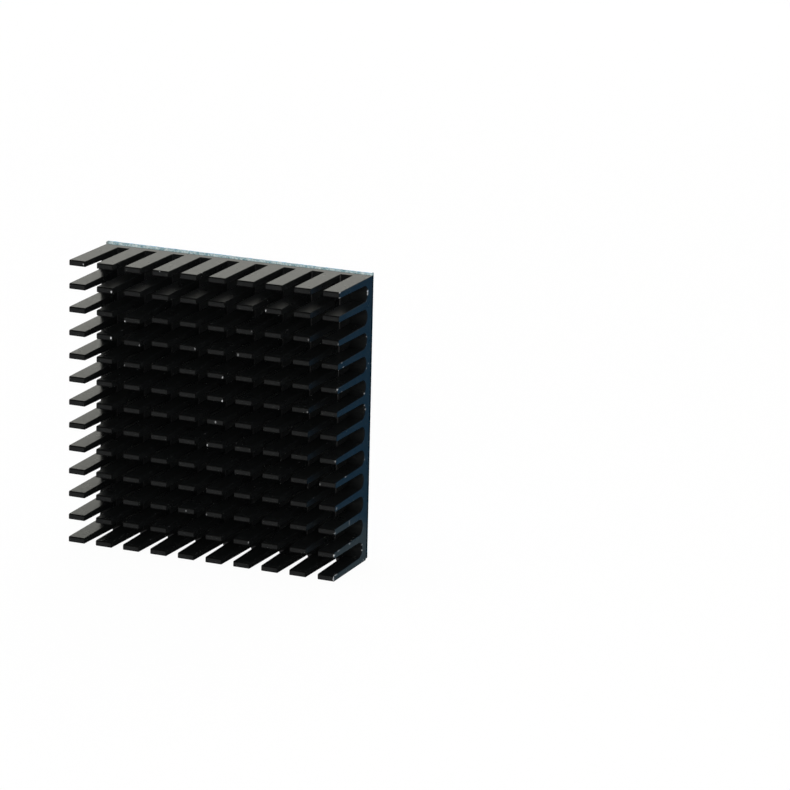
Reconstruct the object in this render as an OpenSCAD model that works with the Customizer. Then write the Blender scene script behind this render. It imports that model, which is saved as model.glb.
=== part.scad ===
// Cross-cut pin heat sink, standing on one edge with its pins facing forward.
// A bar of tapered fins with round-bottomed channels is extruded, sawn to length and
// then cross-cut by a row of slots, which leaves a field of flat pins on a thin base.
// An adhesive pad under a release liner covers the flat back of the base.
// X runs along the fins, Z is up across them, and the pins point towards -Y.
// The origin is at the middle of the footprint, on the surface that it stands on.

/* [Sawn block] */
// Length of the block along its fins
block_w = 40; // [24:0.5:80]
// Height of the block across its fins
block_h = 40; // [30:0.5:80]
// Depth of the metal, from the pin tips to the flat back
block_d = 11; // [6:0.1:30]
// Thickness of the base under the channels
base_t = 1.4; // [0.8:0.1:4]
// Radius of the base's long edges at the back
base_edge_r = 0.05; // [0.05:0.05:0.5]

/* [Extruded fins] */
// Number of fins, stacked up the height
fin_count = 13; // [4:1:14]
// Thickness of every fin at its tip
fin_tip_t = 0.8; // [0.5:0.05:1.05]
// Thickness of an inner fin where its flanks would meet the channel floor
fin_root_t = 1.05; // [1.05:0.05:1.6]
// Radius of the two long edges of each fin tip
tip_edge_r = 0.2; // [0.04:0.02:0.24]
// Largest radius in the corners of a channel floor; a narrow channel gets one full round
gullet_r = 1.2; // [0.1:0.05:1.5]

/* [Cross-cut slots] */
// Number of slots sawn across the fins
slot_count = 9; // [1:1:12]
// Width of a slot, as left by the saw blade
slot_w = 1.8; // [0.8:0.1:1.9]
// How far the slots cut into the base, past the channel floors
slot_bite = 0.3; // [0.05:0.05:0.5]
// Radius in the two corners of each slot floor
slot_corner_r = 0.15; // [0.03:0.01:0.4]

/* [Adhesive pad and liner] */
// Thickness of the adhesive pad
pad_t = 0.4; // [0.1:0.05:1.5]
// Thickness of the release liner on the pad
liner_t = 0.1; // [0.05:0.05:0.3]
// How far the pad stops short of the block at each end of the fins
tape_side_inset = 0; // [0:0.05:2]
// How far the pad stops short of the block's lower edge
tape_low_inset = 0.1; // [0:0.05:2]
// How far the pad stands above the block's upper edge
tape_overhang = 0.4; // [0:0.05:1]
// Radius of the corners of the pad and the liner
tape_corner_r = 0.2; // [0.1:0.1:4]

/* [Hidden] */
$fn = 64;

// Room by which a cut runs past the face that it opens
cut_over = 1;
// Overlap that lets a round corner cross the flank that it runs into
blend = 0.0001;

// Depth: the origin is midway between the pin tips and the liner's outer face
tip_y = -(block_d + pad_t + liner_t) / 2;
back_y = tip_y + block_d;
channel_d = block_d - base_t;
slot_d = channel_d + slot_bite;

// Fin spacing up the height
channel_mouth = (block_h - fin_count * fin_tip_t) / (fin_count - 1);
fin_pitch = fin_tip_t + channel_mouth;

// Channel section: the flanks close in towards the floor at this angle
flank_lean = (fin_root_t - fin_tip_t) / 2;
flank_angle = atan(flank_lean / channel_d);
floor_half = channel_mouth / 2 - flank_lean;

// Half the clear height of a channel at a depth below the fin tips
function half_gap(depth) = channel_mouth / 2 - depth * tan(flank_angle);

// Channel floor: a full round touches both flanks, and a wider floor keeps a flat middle
full_round_r = floor_half * cos(flank_angle) / (1 - sin(flank_angle));
floor_r = min(gullet_r, full_round_r);
floor_centre = channel_d - floor_r;
floor_flat = gullet_r < full_round_r ? half_gap(floor_centre) - floor_r / cos(flank_angle) : 0;

// Pin spacing along the fins
pin_w = (block_w - slot_count * slot_w) / (slot_count + 1);
pin_pitch = pin_w + slot_w;

// The round corners of a slot stay below the channel floors
kerf_r = min(slot_corner_r, 0.9 * slot_bite);

// Outline of the pad and the liner
tape_w = block_w - 2 * tape_side_inset;
tape_h = block_h - tape_low_inset + tape_overhang;

// Section of one channel, from its mouth at the fin tips to its rounded floor.
// Its own X is the depth below the tips, and its middle line lies on Y = 0.
module channel_section() {
    flank_end = floor_centre + floor_r * sin(flank_angle);
    polygon([
        [-cut_over, -half_gap(-cut_over)],
        [flank_end, -half_gap(flank_end)],
        [flank_end, half_gap(flank_end)],
        [-cut_over, half_gap(-cut_over)]
    ]);
    for (side = floor_flat > 0 ? [-1, 1] : [0]) {
        translate([floor_centre, side * floor_flat]) circle(floor_r + blend);
    }
    if (floor_flat > 0) {
        translate([floor_centre, -floor_flat]) square([floor_r, 2 * floor_flat]);
    }
    mouth_flare();
}

// Widening of a channel's mouth that rounds the fin edges on both sides of it
module mouth_flare() {
    edge_y = half_gap(tip_edge_r) + tip_edge_r / cos(flank_angle) - blend;
    flare_end = tip_edge_r * (1 - sin(flank_angle));
    difference() {
        translate([-cut_over, -edge_y]) square([cut_over + flare_end, 2 * edge_y]);
        for (side = [-1, 1]) {
            translate([tip_edge_r, side * edge_y]) circle(tip_edge_r);
        }
    }
}

// What a square corner at the origin loses when it is rounded, with the metal at +X and +Y
module corner_trim(r) {
    difference() {
        translate([-cut_over, -cut_over]) square(cut_over + r);
        translate([r, r]) circle(r);
    }
}

// Section of the extruded bar: X is the depth below the fin tips, Y the height
module bar_section() {
    difference() {
        square([block_d, block_h]);
        for (channel = [0 : fin_count - 2]) {
            middle = fin_tip_t + channel_mouth / 2 + channel * fin_pitch;
            translate([0, middle]) channel_section();
        }
        corner_trim(tip_edge_r);
        translate([0, block_h]) mirror([0, 1]) corner_trim(tip_edge_r);
        translate([block_d, 0]) mirror([1, 0]) corner_trim(base_edge_r);
        translate([block_d, block_h]) rotate(180) corner_trim(base_edge_r);
    }
}

// One sawn slot, through every fin from the lower edge to the upper one
module saw_cut() {
    translate([0, 0, -cut_over])
        linear_extrude(block_h + 2 * cut_over)
            difference() {
                translate([0, -cut_over]) square([slot_w, slot_d + cut_over]);
                translate([0, slot_d]) mirror([0, 1]) corner_trim(kerf_r);
                translate([slot_w, slot_d]) rotate(180) corner_trim(kerf_r);
            }
}

// Metal body: black anodised aluminium, one piece
module heat_sink_body() {
    color([0.1, 0.11, 0.11])
        translate([-block_w / 2, tip_y, 0])
            difference() {
                rotate([90, 0, 90]) linear_extrude(block_w) bar_section();
                for (slot = [0 : slot_count - 1]) {
                    translate([pin_w + slot * pin_pitch, 0, 0]) saw_cut();
                }
            }
}

// Round-cornered sheet that lies on the back of the base, at a distance behind the metal
module tape_sheet(distance, thickness) {
    translate([-tape_w / 2, back_y + distance + thickness, tape_low_inset])
        rotate([90, 0, 0])
            linear_extrude(thickness)
                difference() {
                    square([tape_w, tape_h]);
                    corner_trim(tape_corner_r);
                    translate([tape_w, 0]) mirror([1, 0]) corner_trim(tape_corner_r);
                    translate([0, tape_h]) mirror([0, 1]) corner_trim(tape_corner_r);
                    translate([tape_w, tape_h]) rotate(180) corner_trim(tape_corner_r);
                }
}

// Heat-conducting adhesive pad, pale and slightly translucent
module adhesive_pad() {
    color([0.72, 0.78, 0.8]) tape_sheet(0, pad_t);
}

// Blue film that keeps the adhesive clean until the heat sink is stuck down
module release_liner() {
    color([0.14, 0.62, 0.84]) tape_sheet(pad_t, liner_t);
}

heat_sink_body();
adhesive_pad();
release_liner();
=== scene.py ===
# %% [markdown]
# # A cross-cut pin heat sink
# This lesson dresses a small heat sink for its picture. The metal is one bar of black anodised
# aluminium: thirteen thin fins stand on a flat base, and nine saw cuts across them leave rows of
# flat pins. A pale adhesive pad under a blue film covers the back.
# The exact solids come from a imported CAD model. We load it first and leave its nodes where they
# are, so that everything we add shares their frame, in metres.

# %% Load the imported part
import math
import bmesh
import bpy
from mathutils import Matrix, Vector, noise


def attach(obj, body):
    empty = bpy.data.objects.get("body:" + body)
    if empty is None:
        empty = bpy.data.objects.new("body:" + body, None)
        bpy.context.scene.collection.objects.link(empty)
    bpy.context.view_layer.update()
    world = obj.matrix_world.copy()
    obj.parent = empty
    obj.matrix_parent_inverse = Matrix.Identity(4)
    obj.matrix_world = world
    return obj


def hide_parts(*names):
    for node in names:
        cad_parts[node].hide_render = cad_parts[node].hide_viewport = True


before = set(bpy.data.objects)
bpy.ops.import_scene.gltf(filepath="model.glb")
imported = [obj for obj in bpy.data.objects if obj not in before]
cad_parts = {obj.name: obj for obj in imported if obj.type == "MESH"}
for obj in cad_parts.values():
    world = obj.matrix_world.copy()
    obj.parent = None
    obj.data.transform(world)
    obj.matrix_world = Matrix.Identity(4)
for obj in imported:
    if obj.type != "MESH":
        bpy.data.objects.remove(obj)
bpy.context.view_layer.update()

MM = 0.001

# %% [markdown]
# ## The camera
# The picture is a long-lens product shot: the camera stands half a metre away, to the right of the
# pins and a little above them. Its place and turn were fitted to the rows of pin tips, which show
# where each column and row lands in a square picture. We write them down as plain numbers, so that
# the view never depends on what else is in the scene.

# %% Place the camera
PICTURE, FOCAL_PIXELS, SENSOR = 790, 3899.3, 36
CAMERA_PLACE = (218.08, -464.68, 160.04)
CAMERA_TURN = (75.007, -1.350, 22.8316)


def add_object(name, data):
    """Put a mesh, a lamp or a camera into the scene, at the origin."""
    added = bpy.data.objects.new(name, data)
    bpy.context.scene.collection.objects.link(added)
    return added


camera_data = bpy.data.cameras.new("camera")
camera_data.sensor_width = SENSOR
camera_data.lens = FOCAL_PIXELS / PICTURE * SENSOR
camera = add_object("camera", camera_data)
camera.location = Vector(CAMERA_PLACE) * MM
camera.rotation_euler = [math.radians(turn) for turn in CAMERA_TURN]
bpy.context.scene.camera = camera
bpy.context.scene.view_settings.view_transform = "Standard"
print("Camera lens: %.1f mm" % camera_data.lens)

# %% [markdown]
# ## The set
# Black metal shows little of its own colour: what we see is mostly the white studio, mirrored
# weakly where we look straight at a face and strongly where we look along it. So the set is a white
# floor inside a ring of white paper, under a dim grey dome. Paper that only mirrors the lamps would
# come out grey, so the Light Path node makes it glow for the camera and for mirrored rays. The
# floor stays partly a plain diffuse surface, which keeps the shadow under the part. Three
# softboxes, from above, in front and behind, light the channels between the pins and the colours of
# the back.

# %% Helpers for node trees
def give(tree, value, socket):
    """Link another node's output to a socket, or set the socket to a plain value."""
    if isinstance(value, bpy.types.NodeSocket):
        tree.links.new(value, socket)
    else:
        socket.default_value = value


def new_node(tree, kind, inputs=None, **settings):
    """A node with its settings, and with its inputs by name or number."""
    made = tree.nodes.new(kind)
    for name, value in settings.items():
        setattr(made, name, value)
    for name, value in (inputs or {}).items():
        give(tree, value, made.inputs[name])
    return made


def calculate(tree, operation, *values, clamp=False):
    """What a Math node makes of up to three values."""
    made = new_node(tree, "ShaderNodeMath", dict(enumerate(values)),
                    operation=operation, use_clamp=clamp)
    return made.outputs[0]


print("Node helpers ready")

# %% Helpers for materials
def new_material(name):
    """A material with an empty node tree, and that tree."""
    material = bpy.data.materials.new(name)
    material.use_nodes = True
    material.node_tree.nodes.clear()
    return material, material.node_tree


def show(tree, shader):
    """Send a shader to the surface of the material."""
    new_node(tree, "ShaderNodeOutputMaterial", {"Surface": shader.outputs[0]})


print("Material helpers ready")

# %% The dome
DOME_STRENGTH = 0.25
WHITE, WARM_WHITE = (1, 1, 1, 1), (1, 1, 0.92, 1)
world = bpy.data.worlds.new("grey_dome")
bpy.context.scene.world = world
world.use_nodes = True
dome = world.node_tree.nodes["Background"]
dome.inputs["Color"].default_value = WHITE
dome.inputs["Strength"].default_value = DOME_STRENGTH
print("Dome at %.2f of white" % DOME_STRENGTH)

# %% White paper
PAPER_GLOW = 0.95


def seen_directly(tree):
    """1 where the camera, a mirrored ray or a ray through glass looks at the surface."""
    path = new_node(tree, "ShaderNodeLightPath").outputs
    seen = calculate(tree, "ADD", path["Is Camera Ray"], path["Is Glossy Ray"], clamp=True)
    return calculate(tree, "ADD", seen, path["Is Transmission Ray"], clamp=True)


def new_paper(name, tint):
    paper, tree = new_material(name)
    matt = new_node(tree, "ShaderNodeBsdfDiffuse", {"Color": tint})
    glow = new_node(tree, "ShaderNodeEmission", {"Color": tint})
    share = calculate(tree, "MULTIPLY", seen_directly(tree), PAPER_GLOW)
    show(tree, new_node(tree, "ShaderNodeMixShader",
                        {"Fac": share, 1: matt.outputs[0], 2: glow.outputs[0]}))
    return paper


floor_paper = new_paper("white_paper", WHITE)
ring_paper = new_paper("warm_paper", WARM_WHITE)
print("Papers:", floor_paper.name, ring_paper.name)

# %% Floor and ring
RING_RADIUS, RING_HEIGHT, RING_SIDES = 1.6, 0.9, 96


def draw_out(bm, edges, reach):
    """Extrude edges by a reach, which leaves a wall."""
    grown = bmesh.ops.extrude_edge_only(bm, edges=edges)
    moved = [v for v in grown["geom"] if isinstance(v, bmesh.types.BMVert)]
    bmesh.ops.translate(bm, verts=moved, vec=reach)


paper_mesh = bpy.data.meshes.new("paper_set")
bm = bmesh.new()
bmesh.ops.create_circle(bm, cap_ends=True, segments=RING_SIDES, radius=RING_RADIUS)
draw_out(bm, [edge for edge in bm.edges if edge.is_boundary], (0, 0, RING_HEIGHT))
for face in bm.faces:
    face.material_index = 1 if abs(face.normal.z) < 0.5 else 0
bm.to_mesh(paper_mesh)
bm.free()
paper_set = add_object("paper_set", paper_mesh)
for paper in (floor_paper, ring_paper):
    paper_mesh.materials.append(paper)
print("Paper set: %d faces" % len(paper_mesh.polygons))

# %% Three softboxes
MIDDLE = Vector((0, 0, 0.02))
# Name, place, width and watts
softboxes = [
    ("softbox_above", (-0.25, -0.1, 1.15), 1.0, 5.0),
    ("softbox_in_front", (0.30, -0.79, 0.30), 0.5, 6.5),
    ("softbox_behind", (-0.20, 0.85, 0.35), 0.6, 3.0),
]


def hide_from(thing, *rays):
    """Let these kinds of rays pass an object by."""
    for ray in rays:
        setattr(thing, "visible_" + ray, False)


for name, place_at, width, watts in softboxes:
    lamp = bpy.data.lights.new(name, "AREA")
    lamp.shape = "SQUARE"
    lamp.size = width
    lamp.energy = watts
    softbox = add_object(name, lamp)
    softbox.location = place_at
    hide_from(softbox, "glossy")
    aim = MIDDLE - softbox.location
    softbox.rotation_euler = aim.to_track_quat("-Z", "Y").to_euler()
    print("%s: %.2f m from the part" % (name, aim.length))

# %% [markdown]
# The right-hand end of the fins mirrors what stands to the right of the part. In the picture that
# end is a deep navy, paler near the floor, so a glowing blue card with a paler foot stands there: a
# painted reflection. The floor right under the pins lies in their shade, so a black strip of
# painted shade covers it, which keeps the sides of the lowest pins dark. Both are seen by mirrored
# rays only: they cast no shadow, tint no light and never come into the picture themselves.

# %% The blue card and the black strip
CARD_X, CARD_Y, CARD_Z = (20.02 * MM, 68 * MM), (20 * MM, 24 * MM), 0.02 * MM
CARD_HEIGHT, FOOT_DEPTH = 40 * MM, 32 * MM
STRIP_X, STRIP_Y = 20 * MM, 5.7 * MM
card_mesh = bpy.data.meshes.new("blue_card")
bm = bmesh.new()
fold = bm.edges.new([bm.verts.new((x, y, CARD_Z)) for x, y in zip(CARD_X, CARD_Y)])
for reach in ((0, 0, CARD_HEIGHT), (0, -FOOT_DEPTH, 0)):
    draw_out(bm, [fold], reach)
corners = ((-STRIP_X, -STRIP_Y), (STRIP_X, -STRIP_Y), (STRIP_X, STRIP_Y), (-STRIP_X, STRIP_Y))
bm.faces.new([bm.verts.new((x, y, CARD_Z)) for x, y in corners])
for number, face in enumerate(bm.faces):
    face.material_index = number
bm.to_mesh(card_mesh)
bm.free()
card = add_object("blue_card", card_mesh)
hide_from(card, "camera", "diffuse", "transmission", "shadow", "volume_scatter")
print("Card: %d faces" % len(card_mesh.polygons))

# %% Paint the card and the strip
# The card's blues are a painted reflection, and the strip's black is painted shade.
CARD_BLUE, FOOT_BLUE = (0.030, 0.164, 0.325, 1), (0.22, 0.33, 0.40, 1)
STRIP_BLACK = (0.01, 0.01, 0.01, 1)


def new_paint(name, tint):
    """A glowing colour that looks the same under any light: for painted reflections and painted
    shade.
    """
    paint, tree = new_material(name)
    show(tree, new_node(tree, "ShaderNodeEmission", {"Color": tint}))
    return paint


card_paints = {"card_back": CARD_BLUE, "card_foot": FOOT_BLUE, "black_strip": STRIP_BLACK}
for name, tint in card_paints.items():
    card_mesh.materials.append(new_paint(name, tint))
print("Paints:", ", ".join(card_paints))

# %% [markdown]
# Where the shade on the floor is deepest, the picture shows it between the lowest pins: as a thin
# dark sliver along the foot of each pin, and as a charcoal patch that fills the slot towards the
# base. A shadow of the lamps would be too pale, because the paper glows, so two flat pieces lie on
# the floor of each slot. Only the camera and mirrored rays see them.

# %% The shade near the base
PIN_PITCH, PIN_WIDTH, SLOT_WIDTH, SLOTS = 4.18, 2.38, 1.8, 9
END_X, TIP_Y = 20, -5.75
SHADE_Z, SHADE_BACK = 0.03, 5.7
SLIVER_TIP, SLIVER_WIDTH, SLIVER_BACK = TIP_Y + 0.2, 0.29, 0.6
PATCH_START, PATCH_STEP, PATCH_SLANT = 2.38, 0.178, 2.7
shade_mesh = bpy.data.meshes.new("floor_shade")
bm = bmesh.new()
for gap in range(SLOTS):
    foot = gap * PIN_PITCH + PIN_WIDTH - END_X
    far_side = foot + SLOT_WIDTH
    meeting = (foot + SLIVER_WIDTH, PATCH_START + PATCH_STEP * gap)
    parting = (foot + SLIVER_BACK, SHADE_BACK)
    sliver = ((foot, SLIVER_TIP), meeting, parting, (foot, SHADE_BACK))
    patch = (meeting, (far_side, meeting[1] - PATCH_SLANT), (far_side, SHADE_BACK), parting)
    for number, corners in enumerate((sliver, patch)):
        face = bm.faces.new([bm.verts.new((x * MM, y * MM, SHADE_Z * MM)) for x, y in corners])
        face.material_index = number
bm.to_mesh(shade_mesh)
bm.free()
shade = add_object("floor_shade", shade_mesh)
hide_from(shade, "diffuse", "transmission", "shadow", "volume_scatter")
for name, tone in (("deep_shade", 0.003), ("charcoal_shade", 0.016)):
    shade_mesh.materials.append(new_paint(name, (tone, tone, tone, 1)))
print("Shade in %d slots" % (len(shade_mesh.polygons) // 2))

# %% [markdown]
# ## The sawn block
# The CAD solid is exact, so its edges are mathematically sharp. A real sawn edge is broken by a few
# hundredths of a millimetre and catches a thin line of light. We can't change the CAD mesh, so we
# copy it, merge its loose triangles, dissolve them into flat faces and bevel every sharp edge. The
# new narrow faces carry an attribute, so that the finish knows where the edges are.

# %% Bevel a copy of the metal
EDGE_BREAK, MERGE_WITHIN = 0.05 * MM, 0.001 * MM
FLAT_ANGLE, SHARP_ANGLE = math.radians(0.5), math.radians(40)


def merged_copy(node_name):
    """A bmesh of a CAD node, with its triangles merged and dissolved into flat faces."""
    bm = bmesh.new()
    bm.from_mesh(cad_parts[node_name].data)
    bmesh.ops.remove_doubles(bm, verts=bm.verts, dist=MERGE_WITHIN)
    bmesh.ops.dissolve_limit(bm, angle_limit=FLAT_ANGLE, verts=bm.verts, edges=bm.edges)
    return bm


bm = merged_copy("heat_sink_body")
edge_mark = bm.faces.layers.float.new("broken_edge")
sharp = [edge for edge in bm.edges if edge.calc_face_angle_signed(0) > SHARP_ANGLE]
broken = bmesh.ops.bevel(bm, geom=sharp, offset=EDGE_BREAK, offset_type="OFFSET", segments=2,
                         profile=0.5, affect="EDGES", material=-1, clamp_overlap=False)
for face in broken["faces"]:
    face[edge_mark] = 1.0
for face in bm.faces:
    face.smooth = True
print("Block: %d edges broken, %d faces" % (len(sharp), len(bm.faces)))

# %% [markdown]
# Thin pins bend easily. In the third column three pins hang a little low, as if something had
# pressed on them, and in the sixth column three more do so by a hair. Each is listed by its column
# and row, counted from the upper left, with the drop of its tip. The drop fades out towards the
# base.

# %% Bend the knocked pins
FIN_PITCH, FIN_TIP, TOP_Z = 39.2 / 12, 0.8, 40
BEND_DEPTH, BEND_CURVE, SIDE_ROOM = 8.4, 1.5, 0.1
bent_pins = [(3, 3, 0.45), (3, 4, 0.33), (3, 5, 0.16), (6, 3, 0.07), (6, 4, 0.08), (6, 5, 0.07)]
moved = 0
for column, row, fall in bent_pins:
    left = (column - 1) * PIN_PITCH - END_X
    middle = TOP_Z - FIN_TIP / 2 - (row - 1) * FIN_PITCH
    for v in bm.verts:
        x, y, z = v.co / MM
        depth = y - TIP_Y
        in_column = left - SIDE_ROOM < x < left + PIN_WIDTH + SIDE_ROOM
        if in_column and depth < BEND_DEPTH and abs(z - middle) < FIN_PITCH / 2:
            v.co.z -= fall * MM * (1 - depth / BEND_DEPTH) ** BEND_CURVE
            moved += 1
block_mesh = bpy.data.meshes.new("sawn_pin_block")
bm.to_mesh(block_mesh)
bm.free()
print("Bent pins: %d, by moving %d points" % (len(bent_pins), moved))

# %% Stand the copy in for the CAD node
SMOOTH_ANGLE = math.radians(50)
block_mesh.set_sharp_from_angle(angle=SMOOTH_ANGLE)
block = add_object("sawn_pin_block", block_mesh)
shading = block.modifiers.new("flat faces lead", "WEIGHTED_NORMAL")
shading.keep_sharp = True
shading.weight = 100
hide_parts("heat_sink_body")
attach(block, "root")
print("Block stands in for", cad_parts["heat_sink_body"].name)

# %% [markdown]
# ## Patterns for the finishes
# A surface that was extruded, sawn, etched or cut is never quite even. Each pattern is built once
# as a node group with named inputs and outputs, and each material places it with its own values.
# The groups read the position on the part in metres, so a scale of 5000 gives grains of about
# 0.2 mm. The grain comes in two sizes: a fine one for relief, and a coarse one for mottled colour.

# %% Helpers for groups
VECTOR, FLOAT = "NodeSocketVector", "NodeSocketFloat"


def new_group(name, inputs, outputs):
    """A node group, with what it is given and what it puts out, which are all plain values."""
    group = bpy.data.node_groups.new(name, "ShaderNodeTree")
    for label, kind in inputs.items():
        group.interface.new_socket(label, in_out="INPUT", socket_type=kind)
    for label in outputs:
        group.interface.new_socket(label, in_out="OUTPUT", socket_type=FLOAT)
    given = new_node(group, "NodeGroupInput").outputs
    return group, given, new_node(group, "NodeGroupOutput").inputs


def place(tree, group, **inputs):
    """What a group puts out for these inputs."""
    return new_node(tree, "ShaderNodeGroup", inputs, node_tree=group).outputs


print("Group helpers ready")

# %% Fine grain
COARSE_SHARE = 0.12


def cloud(tree, position, scale, detail=2, roughness=0.5):
    """A cloudy noise."""
    return new_node(tree, "ShaderNodeTexNoise", {
        "Vector": position, "Scale": scale, "Detail": detail, "Roughness": roughness}).outputs


grain_group, given, result = new_group(
    "fine grain", {"Position": VECTOR, "Scale": FLOAT}, ("Height", "Mottle"))
coarse_scale = calculate(grain_group, "MULTIPLY", given["Scale"], COARSE_SHARE)
fine = cloud(grain_group, given["Position"], given["Scale"], detail=3, roughness=0.65)
coarse = cloud(grain_group, given["Position"], coarse_scale)
give(grain_group, fine["Fac"], result["Height"])
give(grain_group, coarse["Fac"], result["Mottle"])
print("Group:", grain_group.name)

# %% [markdown]
# The two ways in which the metal was shaped leave two kinds of lines. The die draws straight lines
# along the fins. The slitting saw leaves shallow arcs on the faces it cuts, which are the ones that
# look along the fins. The group makes both and picks one by which way the surface faces.

# %% Die lines
DIE_STRETCH = (40, 5000, 5000)
lines_group, given, result = new_group(
    "tool marks", {"Position": VECTOR, "Facing": VECTOR}, ("Height",))
stretch = new_node(lines_group, "ShaderNodeMapping",
                   {"Vector": given["Position"], "Scale": DIE_STRETCH})
die = cloud(lines_group, stretch.outputs[0], 1)
print("Die lines: %d times longer than wide" % (DIE_STRETCH[1] / DIE_STRETCH[0]))

# %% Saw marks, and the choice between the two
SAW_RADIUS, SAW_SCALE, SAWN_FROM = 32 * MM, 7000, 0.8


def split(tree, vector):
    """The X, Y and Z of a vector."""
    return new_node(tree, "ShaderNodeSeparateXYZ", {0: vector}).outputs


def mix(tree, kind, share, first, second):
    """From the first value or colour, at a share of 0, to the second one, at 1."""
    made = new_node(tree, "ShaderNodeMix", {"Factor": share, "A": first, "B": second},
                    data_type=kind)
    return made.outputs["Result"]


spot = split(lines_group, given["Position"])
square = calculate(lines_group, "MULTIPLY", spot["Y"], spot["Y"])
sag = calculate(lines_group, "MULTIPLY_ADD", square, 0.5 / SAW_RADIUS, spot["Z"])
arcs = new_node(lines_group, "ShaderNodeTexNoise", {"W": sag, "Scale": SAW_SCALE},
                noise_dimensions="1D").outputs
sideways = calculate(lines_group, "ABSOLUTE", split(lines_group, given["Facing"])["X"])
sawn = calculate(lines_group, "GREATER_THAN", sideways, SAWN_FROM)
marks = mix(lines_group, "FLOAT", sawn, die["Fac"], arcs["Fac"])
give(lines_group, marks, result["Height"])
print("Group:", lines_group.name)

# %% [markdown]
# ## Nicks
# Anodising is a skin a few hundredths of a millimetre thin. Where a pin was knocked, the skin is
# gone and bright aluminium shows. On this part the knocks sit at the corners of single pin tips and
# along the edges of the right-hand end. Each is a small egg of bare metal at its own place. On a
# pin tip that is the column and row of the pin, and how far across and down the tip it lies. On the
# right-hand end it is the depth behind the tips and the height. Then come how far the nick reaches
# and how bare it is. The last entry on the right-hand end is no knock but a painted highlight along
# the upright sawn edge beside the lowest tip.

# %% List the nicks on the pin tips
NICK_SHAPE = (0.75, 1, 1.2)
# Column, row, across, down, reach and bareness
tip_nicks = [
    (2, 4, 2.20, 0.40, 0.17, 0.90), (2, 2, 2.22, 0.50, 0.16, 0.70), (6, 6, 2.24, 0.58, 0.16, 0.60),
    (10, 12, 2.34, 0.37, 0.18, 0.45), (3, 3, 0.10, 0.66, 0.15, 0.60),
    (6, 8, 0.10, 0.52, 0.15, 0.40), (8, 2, 0.10, 0.43, 0.15, 0.38), (6, 5, 2.24, 0.52, 0.15, 0.33),
    (6, 7, 1.28, 0.40, 0.16, 0.25), (10, 5, 2.32, 0.20, 0.16, 0.22),
    (10, 8, 2.26, 0.30, 0.14, 0.22), (5, 4, 2.27, 0.38, 0.14, 0.16),
    (3, 4, 2.32, 0.57, 0.14, 0.16), (7, 12, 2.24, 0.31, 0.14, 0.16),
    (10, 9, 0.09, 0.51, 0.14, 0.15), (9, 3, 2.20, 0.41, 0.14, 0.13),
    (6, 11, 0.08, 0.49, 0.14, 0.13), (3, 5, 0.09, 0.54, 0.14, 0.13), (7, 4, 0.32, 0.45, 0.20, 0.12),
    (9, 6, 2.24, 0.54, 0.13, 0.12), (7, 3, 2.28, 0.22, 0.12, 0.09), (1, 1, 2.14, 0.42, 0.10, 0.50),
    (5, 11, 1.20, 0.40, 0.16, 0.12), (10, 3, 2.34, 0.50, 0.15, 0.10),
    (4, 1, 1.10, 0.08, 0.11, 0.30),
]
drops = {(column, row): fall for column, row, fall in bent_pins}
nicks = []
for column, row, across, down, reach, bright in tip_nicks:
    x = across - END_X + (column - 1) * PIN_PITCH
    low = down + drops.get((column, row), 0)
    centre = (x, TIP_Y, TOP_Z - (row - 1) * FIN_PITCH - low)
    nicks.append((centre, [part * reach for part in NICK_SHAPE], bright))
print("Nicks on pin tips: %d" % len(tip_nicks))

# %% List the nicks on the right-hand end
END_NICK_DEPTH = 0.15
# Depth, height, reach along the depth, reach up and bareness
end_nicks = [
    (9.58, 38.15, 0.18, 0.22, 1.00), (9.58, 37.80, 0.15, 0.24, 0.50),
    (0.15, 39.95, 0.25, 0.10, 0.50), (0.15, 39.25, 0.25, 0.12, 0.35),
    (9.55, 31.90, 0.15, 0.10, 0.16), (1.80, 29.42, 0.35, 0.10, 0.35),
    (1.25, 30.15, 0.30, 0.10, 0.14), (10.35, 28.0, 0.16, 0.12, 0.18),
    (9.70, 27.45, 0.18, 0.12, 0.26), (0.06, 26.75, 0.25, 0.13, 0.40),
    (1.35, 26.15, 0.25, 0.10, 0.25), (9.22, 24.05, 0.20, 0.12, 0.36),
    (9.40, 22.35, 0.18, 0.12, 0.25), (9.70, 21.75, 0.20, 0.16, 0.20),
    (9.75, 14.65, 0.20, 0.16, 0.18), (3.35, 13.85, 0.28, 0.11, 0.40),
    (0.50, 10.15, 0.20, 0.22, 0.28), (4.95, 6.95, 0.14, 0.42, 0.20),
    (0.15, 6.80, 0.28, 0.13, 0.32), (5.20, 3.95, 0.30, 0.16, 0.28),
    (1.45, 3.98, 0.45, 0.10, 0.20), (0.12, 3.70, 0.22, 0.14, 0.65),
    (9.55, 2.60, 0.18, 0.13, 0.26), (9.60, 1.80, 0.20, 0.11, 0.36),
    (0.70, 0.78, 0.60, 0.10, 0.40), (10.15, 0.25, 0.18, 0.12, 0.22),
    # A painted highlight along the upright sawn edge beside the lowest tip, not a knock.
    (0.04, 0.40, 0.10, 0.45, 0.55),
]
for depth, height, along, tall, bright in end_nicks:
    nicks.append(((END_X, TIP_Y + depth, height), (END_NICK_DEPTH, along, tall), bright))
print("Nicks on the right-hand end: %d" % len(end_nicks))

# %% The shape of one nick
FADE_FROM, FADE_TO = 1.0, 0.6


def calculate_vector(tree, operation, *values):
    """What a Vector Math node makes of up to three vectors."""
    made = new_node(tree, "ShaderNodeVectorMath", dict(enumerate(values)), operation=operation)
    return made.outputs["Value" if operation == "LENGTH" else "Vector"]


def ramp(tree, value, start, end, low=0, high=1):
    """From low, at the start of a range of values, straight to high, at its end."""
    made = new_node(tree, "ShaderNodeMapRange", {
        "Value": value, "From Min": start, "From Max": end, "To Min": low, "To Max": high})
    return made.outputs[0]


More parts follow.
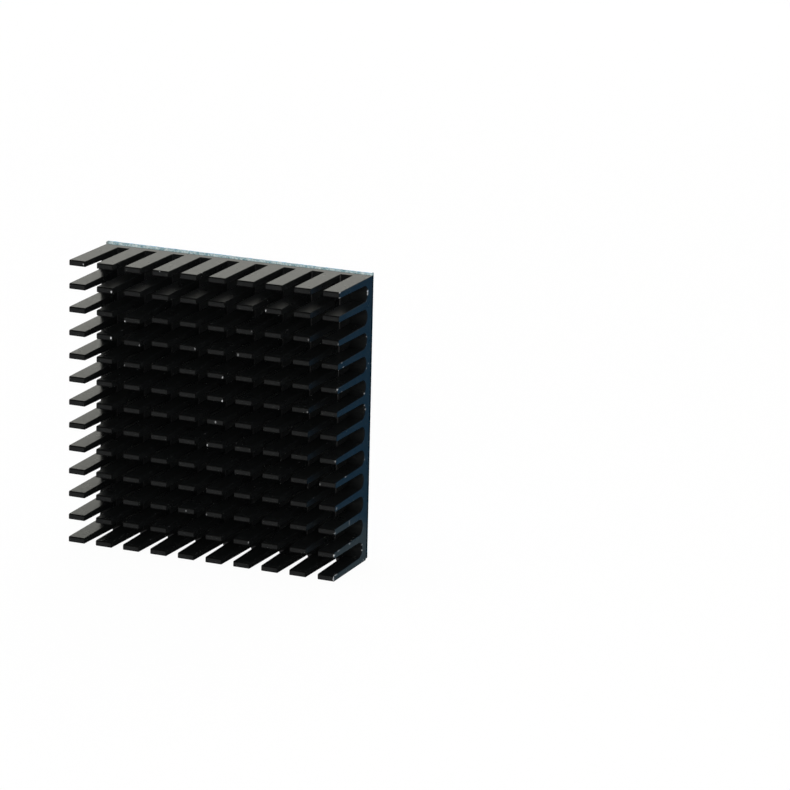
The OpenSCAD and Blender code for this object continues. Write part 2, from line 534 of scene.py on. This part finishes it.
nick_group, given, result = new_group(
    "nick", {"Position": VECTOR, "Centre": VECTOR, "Reach": VECTOR, "Bright": FLOAT}, ("Mask",))
away = calculate_vector(nick_group, "SUBTRACT", given["Position"], given["Centre"])
scaled = calculate_vector(nick_group, "DIVIDE", away, given["Reach"])
distance = calculate_vector(nick_group, "LENGTH", scaled)
fade = ramp(nick_group, distance, FADE_FROM, FADE_TO, high=given["Bright"])
give(nick_group, fade, result["Mask"])
print("Group:", nick_group.name)

# %% [markdown]
# ## Black anodised aluminium
# The finish is a dark, slightly rough skin with a low gloss. Its brightness in the picture comes
# from the Principled shader's Fresnel reflection: about one per cent of the white set where we face
# a tip, and a fifth of it where we look along the tops of the pins. One plain layer can't span that
# much, but the sealed skin over the dyed one is a second layer, which is the shader's coat. Its
# weight carries the fine grain. Bare metal is the same shader with Metallic at one, so a mask mixes
# between the two.

# %% Start the finish with its grain and tool marks
GRAIN_SCALE, MARKS_SHARE = 5000, 0.5
RELIEF_STRENGTH, RELIEF_HEIGHT = 0.15, 0.012 * MM


def on_the_part(tree):
    """The position on the part, in metres."""
    return new_node(tree, "ShaderNodeTexCoord").outputs["Object"]


anodised, tree = new_material("black_anodised")
position = on_the_part(tree)
facing = new_node(tree, "ShaderNodeNewGeometry").outputs["Normal"]
grain = place(tree, grain_group, Position=position, Scale=GRAIN_SCALE)
lines = place(tree, lines_group, Position=position, Facing=facing)
relief = calculate(tree, "MULTIPLY_ADD", lines["Height"], MARKS_SHARE, grain["Height"])
bump = new_node(tree, "ShaderNodeBump", {
    "Height": relief, "Strength": RELIEF_STRENGTH, "Distance": RELIEF_HEIGHT})
print("Relief of grain and tool marks, %.3f mm high" % (RELIEF_HEIGHT / MM))

# %% Gather the worn edges and the nicks into one mask
RUB_SCALE, RUB_START, RUB_END = 900, 0.69, 0.81
RAGGED_SCALE, RAGGED_BY = 9000, 0.16 * MM
edge = new_node(tree, "ShaderNodeAttribute", attribute_name="broken_edge").outputs["Fac"]
rub = cloud(tree, position, RUB_SCALE, detail=4)
bare = calculate(tree, "MULTIPLY", edge, ramp(tree, rub["Fac"], RUB_START, RUB_END))
ragged = cloud(tree, position, RAGGED_SCALE)
offset = calculate_vector(tree, "SUBTRACT", ragged["Color"], (0.5, 0.5, 0.5))
shaken = calculate_vector(tree, "MULTIPLY_ADD", offset, (RAGGED_BY,) * 3, position)
for centre, reach, bright in nicks:
    nick = place(tree, nick_group, Position=shaken, Centre=[c * MM for c in centre],
                 Reach=[r * MM for r in reach], Bright=bright)
    bare = calculate(tree, "MAXIMUM", bare, nick["Mask"])
print("Mask of bare metal from the worn edges and %d nicks" % len(nicks))

# %% [markdown]
# Two kinds of places are duller than the rest: the floors of the channels and slots, which no brush
# reaches, and the rounded edges of the pin tips, as they left the die. The way a surface faces,
# together with its depth for the floors, is enough to find them. A second mask is painted shade: it
# darkens the roundings, the floors more faintly, and the flat tips, which come out a little darker
# than the flanks.

# %% Find the dull floors and roundings
FLOOR_MIDDLE, FLOOR_REACH = 3.3 * MM, 0.9 * MM
PAST_FLAT, BEFORE_FLANK = (-0.995, -0.95), (-0.10, -0.30)
turn = split(tree, facing)
spot = split(tree, position)
past_flat = ramp(tree, turn["Y"], *PAST_FLAT)
before_flank = ramp(tree, turn["Y"], *BEFORE_FLANK)
deep = calculate(tree, "COMPARE", spot["Y"], FLOOR_MIDDLE, FLOOR_REACH)
either = calculate(tree, "MAXIMUM", past_flat, deep)
dull = calculate(tree, "MULTIPLY", either, before_flank)
print("Dull floors around a depth of %.2f mm, and dull roundings" % (FLOOR_MIDDLE / MM - TIP_Y))

# %% Find the painted shade
FRONT, FRONT_SHARE, FLOOR_SHARE = (-0.90, -0.98), 0.45, 0.45
# Painted shade on the flat tips and the roundings, found by the way they face.
front = ramp(tree, turn["Y"], *FRONT, high=FRONT_SHARE)
rounding = calculate(tree, "MULTIPLY", past_flat, before_flank)
fainter = ramp(tree, deep, 0, 1, low=1, high=FLOOR_SHARE)
shaded = calculate(tree, "MULTIPLY", rounding, fainter)
painted_shade = calculate(tree, "MAXIMUM", shaded, front)
print("Tips darker by a share of %.2f" % FRONT_SHARE)

# %% [markdown]
# The saw bites a little deeper than the channels, so a narrow step is left on both sides of each
# slot floor. The one that faces right catches some light: in the picture it shows as thin, pale
# upright lines between the pins, clearer towards the right-hand end. One more mask finds it by its
# depth and by the way it faces, and leaves the end itself out. The colour paints that light in as
# a painted highlight, stronger towards the right-hand end.

# %% Find the painted highlights on the sawn steps
STEP_MIDDLE, STEP_REACH, END_ROOM = 4.02 * MM, 0.12 * MM, 0.1
FACES_RIGHT, CLEARER, FAINTEST = (0.5, 0.8), (8 * MM, 15.6 * MM), 0.2
step_highlight = calculate(tree, "COMPARE", spot["Y"], STEP_MIDDLE, STEP_REACH)
inside = calculate(tree, "LESS_THAN", spot["X"], (END_X - END_ROOM) * MM)
to_the_right = ramp(tree, spot["X"], *CLEARER, low=FAINTEST)
beside = ramp(tree, turn["X"], *FACES_RIGHT)
for mask in (inside, to_the_right, beside):
    step_highlight = calculate(tree, "MULTIPLY", step_highlight, mask)
print("Pale steps around a depth of %.2f mm" % (STEP_MIDDLE / MM - TIP_Y))

# %% [markdown]
# Now the masks come together. The dyed skin is nearly black and faintly mottled, and each mask lays
# its own tint over it, with the bare metal last. The mottle also varies the gloss, and whatever is
# dull or bare is much rougher. The coat follows a grain of its own, which makes the tops of the
# pins look finely speckled, and the dull places have none.

# %% The colour of the metal
DARK_SKIN, LIGHT_SKIN = (0.0058, 0.0064, 0.0066, 1), (0.0083, 0.0090, 0.0092, 1)
PAINTED_SHADE_SKIN, STEP_HIGHLIGHT = (0.0015, 0.0016, 0.0016, 1), (0.042, 0.042, 0.042, 1)
BARE_METAL = (0.74, 0.75, 0.77, 1)
colour = mix(tree, "RGBA", grain["Mottle"], DARK_SKIN, LIGHT_SKIN)
for mask, tint in ((painted_shade, PAINTED_SHADE_SKIN), (step_highlight, STEP_HIGHLIGHT), (bare, BARE_METAL)):
    colour = mix(tree, "RGBA", mask, colour, tint)
print("Colour in four layers")

# %% Roughness and the sealed coat
SMOOTHEST, ROUGHEST, DULL_ROUGHNESS = 0.25, 0.32, 0.6
SEAL_SCALE, SEAL_RANGE, SEAL_LOW, SEAL_HIGH = 2200, (0.35, 0.65), 0.36, 0.87
gloss = ramp(tree, grain["Mottle"], 0, 1, SMOOTHEST, ROUGHEST)
rough = mix(tree, "FLOAT", calculate(tree, "MAXIMUM", bare, dull), gloss, DULL_ROUGHNESS)
seal = place(tree, grain_group, Position=position, Scale=SEAL_SCALE)
sealed = ramp(tree, seal["Height"], *SEAL_RANGE, SEAL_LOW, SEAL_HIGH)
coat = mix(tree, "FLOAT", dull, sealed, 0)
print("Coat weight from %.2f to %.2f" % (SEAL_LOW, SEAL_HIGH))

# %% The shader of the metal
SKIN_IOR, COAT_ROUGHNESS = 1.16, 0.25
show(tree, new_node(tree, "ShaderNodeBsdfPrincipled", {
    "Base Color": colour, "Roughness": rough, "Metallic": bare, "Normal": bump.outputs[0],
    "IOR": SKIN_IOR, "Coat Weight": coat, "Coat IOR": SKIN_IOR,
    "Coat Roughness": COAT_ROUGHNESS}))
block_mesh.materials.append(anodised)
print("Finish:", anodised.name)

# %% [markdown]
# ## The pad and its film
# Both are sheets cut with a knife, so their outlines waver by less than a tenth of a millimetre. We
# copy each CAD sheet, cut its long edges into short steps and push the outline inwards by a smooth
# noise: further along the upper edge, which was torn off and runs slightly downhill to the right.
# Nothing is pushed outwards, so the sheets stay inside the space that the CAD gives them.
# The rim that stands above the metal is thin and lets light through, so mirrored rays pass the
# sheets by: the metal in front of the rim then mirrors the white paper behind it.

# %% A helper that wavers a sheet's outline
LONG_EDGE, EDGE_STEP, UPPER_DROP = 5 * MM, 0.2 * MM, 0.13 * MM
UPPER_BAND, LOWER_BAND, SIDE_WAVER = 0.02 * MM, 1 * MM, 0.03 * MM
WAVE, WAVE_FALL, WAVE_STEP, WAVE_LAYERS = 0.5 * MM, 0.8, 2.0, 3


def waver_outline(bm, upper_waver, seed):
    """Push the points of a sheet's outline inwards by a smooth noise."""
    half = max(abs(v.co.x) for v in bm.verts)
    top = max(v.co.z for v in bm.verts)
    for v in bm.verts:
        place_in_noise = Vector((v.co.x, seed * MM, v.co.z)) / WAVE
        push = 0.5 + 0.5 * noise.fractal(place_in_noise, WAVE_FALL, WAVE_STEP, WAVE_LAYERS)
        if v.co.z > top - UPPER_BAND:
            v.co.z -= upper_waver * push + UPPER_DROP * (v.co.x / half + 1) / 2
        elif v.co.z < LOWER_BAND:
            v.co.z += SIDE_WAVER * push
        else:
            v.co.x -= math.copysign(SIDE_WAVER * push, v.co.x)


print("Outlines waver by up to %.2f mm at the sides" % (SIDE_WAVER / MM))

# %% Cut the pad and the film
def cut_sheet(node_name, piece_name, upper_waver, seed):
    bm = merged_copy(node_name)
    long_edges = [edge for edge in bm.edges if edge.calc_length() > LONG_EDGE]
    cuts = round(max(edge.calc_length() for edge in long_edges) / EDGE_STEP)
    bmesh.ops.subdivide_edges(bm, edges=long_edges, cuts=cuts)
    waver_outline(bm, upper_waver, seed)
    mesh = bpy.data.meshes.new(piece_name)
    bm.to_mesh(mesh)
    bm.free()
    piece = add_object(piece_name, mesh)
    hide_from(piece, "glossy")
    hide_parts(node_name)
    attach(piece, "root")
    print("%s: long edges in %d steps, %d faces" % (piece_name, cuts + 1, len(mesh.polygons)))
    return piece


pad = cut_sheet("adhesive_pad", "pale_pad", 0.07 * MM, 1.0)
film = cut_sheet("release_liner", "blue_film", 0.06 * MM, 7.0)

# %% [markdown]
# The pad is a rubbery adhesive: pale, cloudy and a little see-through, with tiny lumps where the
# knife tore it. Light gets into it where it stands clear above the metal, and dies in it where
# black metal and film close it in, which is why its upper rim is pale and its right-hand edge is
# dark. The colour keeps the pale tone in the rim and paints shade below it and at the right-hand
# edge. The left-hand edge was cut rougher, is spared the painted shade and stays a speckled grey.

# %% The colour of the adhesive
LUMP_SCALE, LUMP_RANGE = 2500, (0.35, 0.65)
LUMP_DARK, LUMP_PALE = (0.13, 0.25, 0.29, 1), (0.54, 0.61, 0.61, 1)
LEFT_GREY, PAD_SHADE = (0.15, 0.17, 0.16, 1), (0.0015, 0.007, 0.013, 1)
RIM_RANGE, LEFT_RANGE, LEFT_SHARE = (39.96 * MM, 40.09 * MM), (-19.45 * MM, -19.7 * MM), 0.75
cloudy, tree = new_material("adhesive")
position = on_the_part(tree)
spot = split(tree, position)
lumps = place(tree, grain_group, Position=position, Scale=LUMP_SCALE)["Height"]
tone = mix(tree, "RGBA", ramp(tree, lumps, *LUMP_RANGE), LUMP_DARK, LUMP_PALE)
left_end = ramp(tree, spot["X"], *LEFT_RANGE, high=LEFT_SHARE)
greyed = mix(tree, "RGBA", left_end, tone, LEFT_GREY)
clear = ramp(tree, spot["Z"], *RIM_RANGE)
lit = calculate(tree, "MAXIMUM", clear, left_end)
# Below the rim and away from the left-hand end, the colour is painted shade.
colour = mix(tree, "RGBA", lit, PAD_SHADE, greyed)
print("Rim turns pale from %.2f to %.2f mm up" % tuple(height / MM for height in RIM_RANGE))

# %% The shader of the adhesive
torn = new_node(tree, "ShaderNodeBump", {
    "Height": lumps, "Strength": 0.6, "Distance": 0.03 * MM})
show(tree, new_node(tree, "ShaderNodeBsdfPrincipled", {
    "Base Color": colour, "Normal": torn.outputs[0], "Roughness": 0.5, "IOR": 1.05}))
pad.data.materials.append(cloudy)
print("Finish:", cloudy.name)

# %% [markdown]
# The film is smooth blue plastic with a soft gloss. It has faint rubs and a very slight unevenness
# where the adhesive under it isn't flat. Both are small: too much of either would look like cloth.
# Little light leaves through the cut edges at its two sides, so they are painted nearly black:
# painted shade, found by the way they face.

# %% The colour of the film
RIPPLE_SCALE = 1500
DEEP_BLUE, LIGHT_BLUE = (0.016, 0.335, 0.655, 1), (0.020, 0.375, 0.700, 1)
FILM_EDGE_SHADE = (0.002, 0.012, 0.022, 1)
blue, tree = new_material("blue_film")
position = on_the_part(tree)
ripple = place(tree, grain_group, Position=position, Scale=RIPPLE_SCALE)["Mottle"]
tone = mix(tree, "RGBA", ripple, DEEP_BLUE, LIGHT_BLUE)
facing = split(tree, new_node(tree, "ShaderNodeNewGeometry").outputs["Normal"])
# Painted shade on the faces that look sideways.
colour = mix(tree, "RGBA", calculate(tree, "ABSOLUTE", facing["X"]), tone, FILM_EDGE_SHADE)
print("Blue in two tones")

# %% The shader of the film
RUB_TURN, RUB_STRETCH = (0, math.radians(38), 0), (250, 250, 6000)
RUB_RANGE, FILM_SMOOTHEST, FILM_ROUGHEST = (0.3, 0.75), 0.28, 0.45
stretch = new_node(tree, "ShaderNodeMapping", {
    "Vector": position, "Rotation": RUB_TURN, "Scale": RUB_STRETCH})
rubs = cloud(tree, stretch.outputs[0], 1, detail=4)
gloss = ramp(tree, rubs["Fac"], *RUB_RANGE, FILM_SMOOTHEST, FILM_ROUGHEST)
uneven = new_node(tree, "ShaderNodeBump", {
    "Height": ripple, "Strength": 0.12, "Distance": 0.05 * MM})
show(tree, new_node(tree, "ShaderNodeBsdfPrincipled", {
    "Base Color": colour, "Roughness": gloss, "Normal": uneven.outputs[0], "IOR": 1.45}))
film.data.materials.append(blue)
print("Finish:", blue.name)
